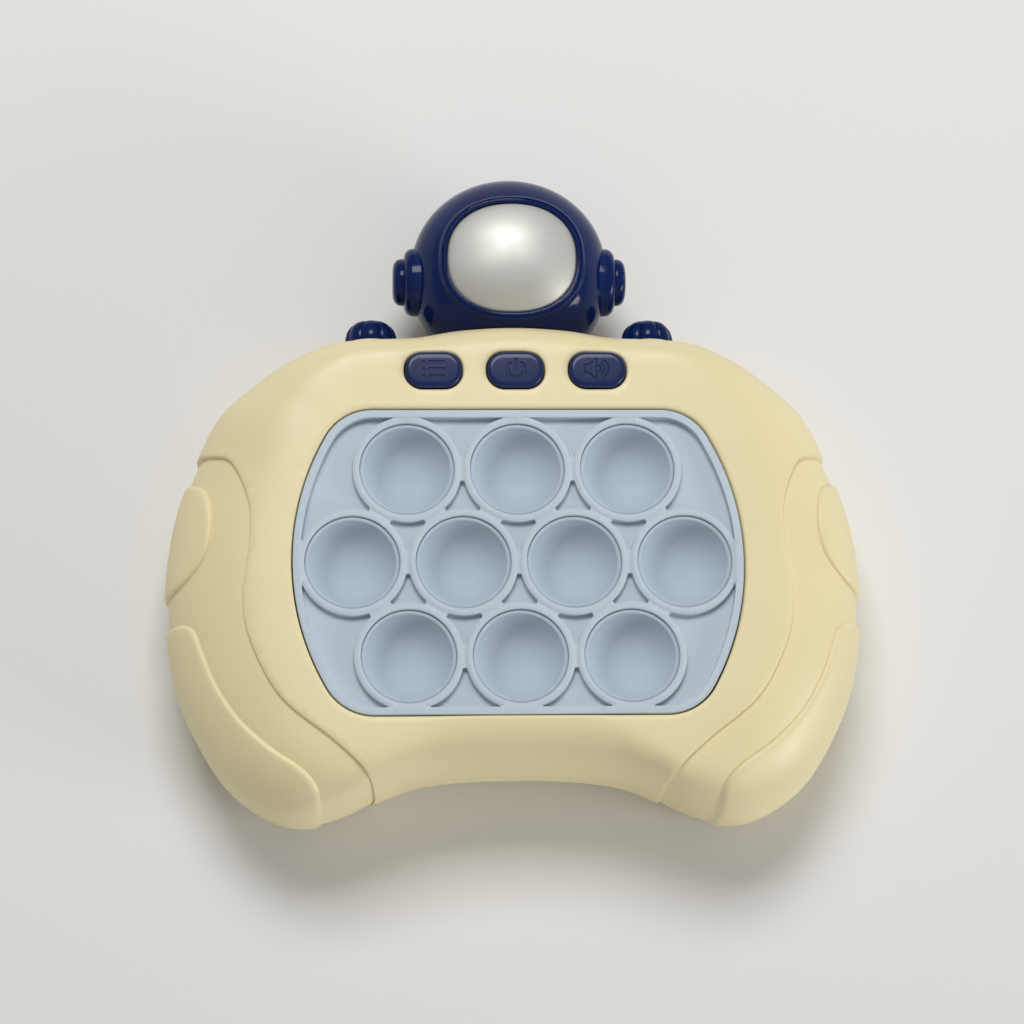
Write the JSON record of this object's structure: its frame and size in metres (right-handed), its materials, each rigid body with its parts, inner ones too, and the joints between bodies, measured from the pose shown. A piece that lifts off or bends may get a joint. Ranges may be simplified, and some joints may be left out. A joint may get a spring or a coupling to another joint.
{
  "type": "electronic quick push game",
  "caption": "Handheld push-bubble reaction game with a soft panel of round pads, wavy side grips, oval function buttons, fluted dials and a visored helmet on top.",
  "frame": {"origin": "middle of the whole game's outline, on the table that its back lies on", "axes": "+X to the right of a player, +Y up the front towards the helmet, +Z out of the bubble panel"},
  "size_m": [0.1662, 0.159, 0.0408],
  "materials": {
    "cream_plastic": "satin moulded plastic",
    "navy_plastic": "gloss moulded plastic",
    "silver_coating": "satin silver coating on plastic",
    "silicone": "soft satin silicone",
    "frosted_plastic": "frosted, lets light through",
    "white_plastic": "plain moulded",
    "board": "solder mask over glass fibre",
    "steel": "nickel plated",
    "cell_jacket": "printed sleeve, plain",
    "speaker_black": "matt paper and steel",
    "lead_sleeve": "soft sleeve"
  },
  "bodies": {
    "case": {"front_cover": "cream_plastic", "rear_cover": "cream_plastic", "bubble_mat": "silicone", "key_tray": "white_plastic", "main_board": "board", "helmet_front": "navy_plastic", "helmet_rear": "navy_plastic", "visor": "silver_coating", "ear_pod_left": "navy_plastic", "ear_pod_right": "navy_plastic", "cell_1": "cell_jacket", "cell_2": "cell_jacket", "cell_3": "cell_jacket", "cell_contact_left": "steel", "cell_contact_right": "steel", "speaker": "speaker_black", "speaker_lead": "lead_sleeve", "cell_lead": "lead_sleeve", "case_screw_1": "steel", "case_screw_2": "steel", "case_screw_3": "steel", "case_screw_4": "steel", "board_screw_1": "steel", "board_screw_2": "steel", "board_screw_3": "steel", "board_screw_4": "steel", "helmet_screw": "steel"},
    "pad_01": {"bubble_01": "silicone", "key_01": "frosted_plastic"},
    "pad_02": {"bubble_02": "silicone", "key_02": "frosted_plastic"},
    "pad_03": {"bubble_03": "silicone", "key_03": "frosted_plastic"},
    "pad_04": {"bubble_04": "silicone", "key_04": "frosted_plastic"},
    "pad_05": {"bubble_05": "silicone", "key_05": "frosted_plastic"},
    "pad_06": {"bubble_06": "silicone", "key_06": "frosted_plastic"},
    "pad_07": {"bubble_07": "silicone", "key_07": "frosted_plastic"},
    "pad_08": {"bubble_08": "silicone", "key_08": "frosted_plastic"},
    "pad_09": {"bubble_09": "silicone", "key_09": "frosted_plastic"},
    "pad_10": {"bubble_10": "silicone", "key_10": "frosted_plastic"},
    "mode_button": {"mode_button": "navy_plastic"},
    "power_button": {"power_button": "navy_plastic"},
    "volume_button": {"volume_button": "navy_plastic"},
    "dial_left": {"dial_left": "navy_plastic"},
    "dial_right": {"dial_right": "navy_plastic"},
    "door": {"battery_door": "cream_plastic", "battery_door_screw": "steel"}
  },
  "joints": [
    {"name": "press_01", "type": "slide", "parent": "case", "child": "pad_01", "axis": [0, 0, -1], "range_m": [0, 0.0025], "stiffness_N_per_m": 500, "springref_m": -0.0004},
    {"name": "press_02", "type": "slide", "parent": "case", "child": "pad_02", "axis": [0, 0, -1], "range_m": [0, 0.0025], "stiffness_N_per_m": 500, "springref_m": -0.0004},
    {"name": "press_03", "type": "slide", "parent": "case", "child": "pad_03", "axis": [0, 0, -1], "range_m": [0, 0.0025], "stiffness_N_per_m": 500, "springref_m": -0.0004},
    {"name": "press_04", "type": "slide", "parent": "case", "child": "pad_04", "axis": [0, 0, -1], "range_m": [0, 0.0025], "stiffness_N_per_m": 500, "springref_m": -0.0004},
    {"name": "press_05", "type": "slide", "parent": "case", "child": "pad_05", "axis": [0, 0, -1], "range_m": [0, 0.0025], "stiffness_N_per_m": 500, "springref_m": -0.0004},
    {"name": "press_06", "type": "slide", "parent": "case", "child": "pad_06", "axis": [0, 0, -1], "range_m": [0, 0.0025], "stiffness_N_per_m": 500, "springref_m": -0.0004},
    {"name": "press_07", "type": "slide", "parent": "case", "child": "pad_07", "axis": [0, 0, -1], "range_m": [0, 0.0025], "stiffness_N_per_m": 500, "springref_m": -0.0004},
    {"name": "press_08", "type": "slide", "parent": "case", "child": "pad_08", "axis": [0, 0, -1], "range_m": [0, 0.0025], "stiffness_N_per_m": 500, "springref_m": -0.0004},
    {"name": "press_09", "type": "slide", "parent": "case", "child": "pad_09", "axis": [0, 0, -1], "range_m": [0, 0.0025], "stiffness_N_per_m": 500, "springref_m": -0.0004},
    {"name": "press_10", "type": "slide", "parent": "case", "child": "pad_10", "axis": [0, 0, -1], "range_m": [0, 0.0025], "stiffness_N_per_m": 500, "springref_m": -0.0004},
    {"name": "press_mode", "type": "slide", "parent": "case", "child": "mode_button", "axis": [0, 0, -1], "range_m": [0, 0.0012], "stiffness_N_per_m": 900, "springref_m": -0.0003},
    {"name": "press_power", "type": "slide", "parent": "case", "child": "power_button", "axis": [0, 0, -1], "range_m": [0, 0.0012], "stiffness_N_per_m": 900, "springref_m": -0.0003},
    {"name": "press_volume", "type": "slide", "parent": "case", "child": "volume_button", "axis": [0, 0, -1], "range_m": [0, 0.0012], "stiffness_N_per_m": 900, "springref_m": -0.0003},
    {"name": "turn_left", "type": "hinge", "parent": "case", "child": "dial_left", "pos_m": [-0.0338, 0.04, 0.018], "axis": [0, 1, 0], "continuous": true},
    {"name": "turn_right", "type": "hinge", "parent": "case", "child": "dial_right", "pos_m": [0.0338, 0.04, 0.018], "axis": [0, 1, 0], "continuous": true},
    {"name": "door_swing", "type": "hinge", "parent": "case", "child": "door", "pos_m": [0, -0.0469, 0.0004], "axis": [-1, 0, 0], "range_deg": [0, 70]}
  ]
}
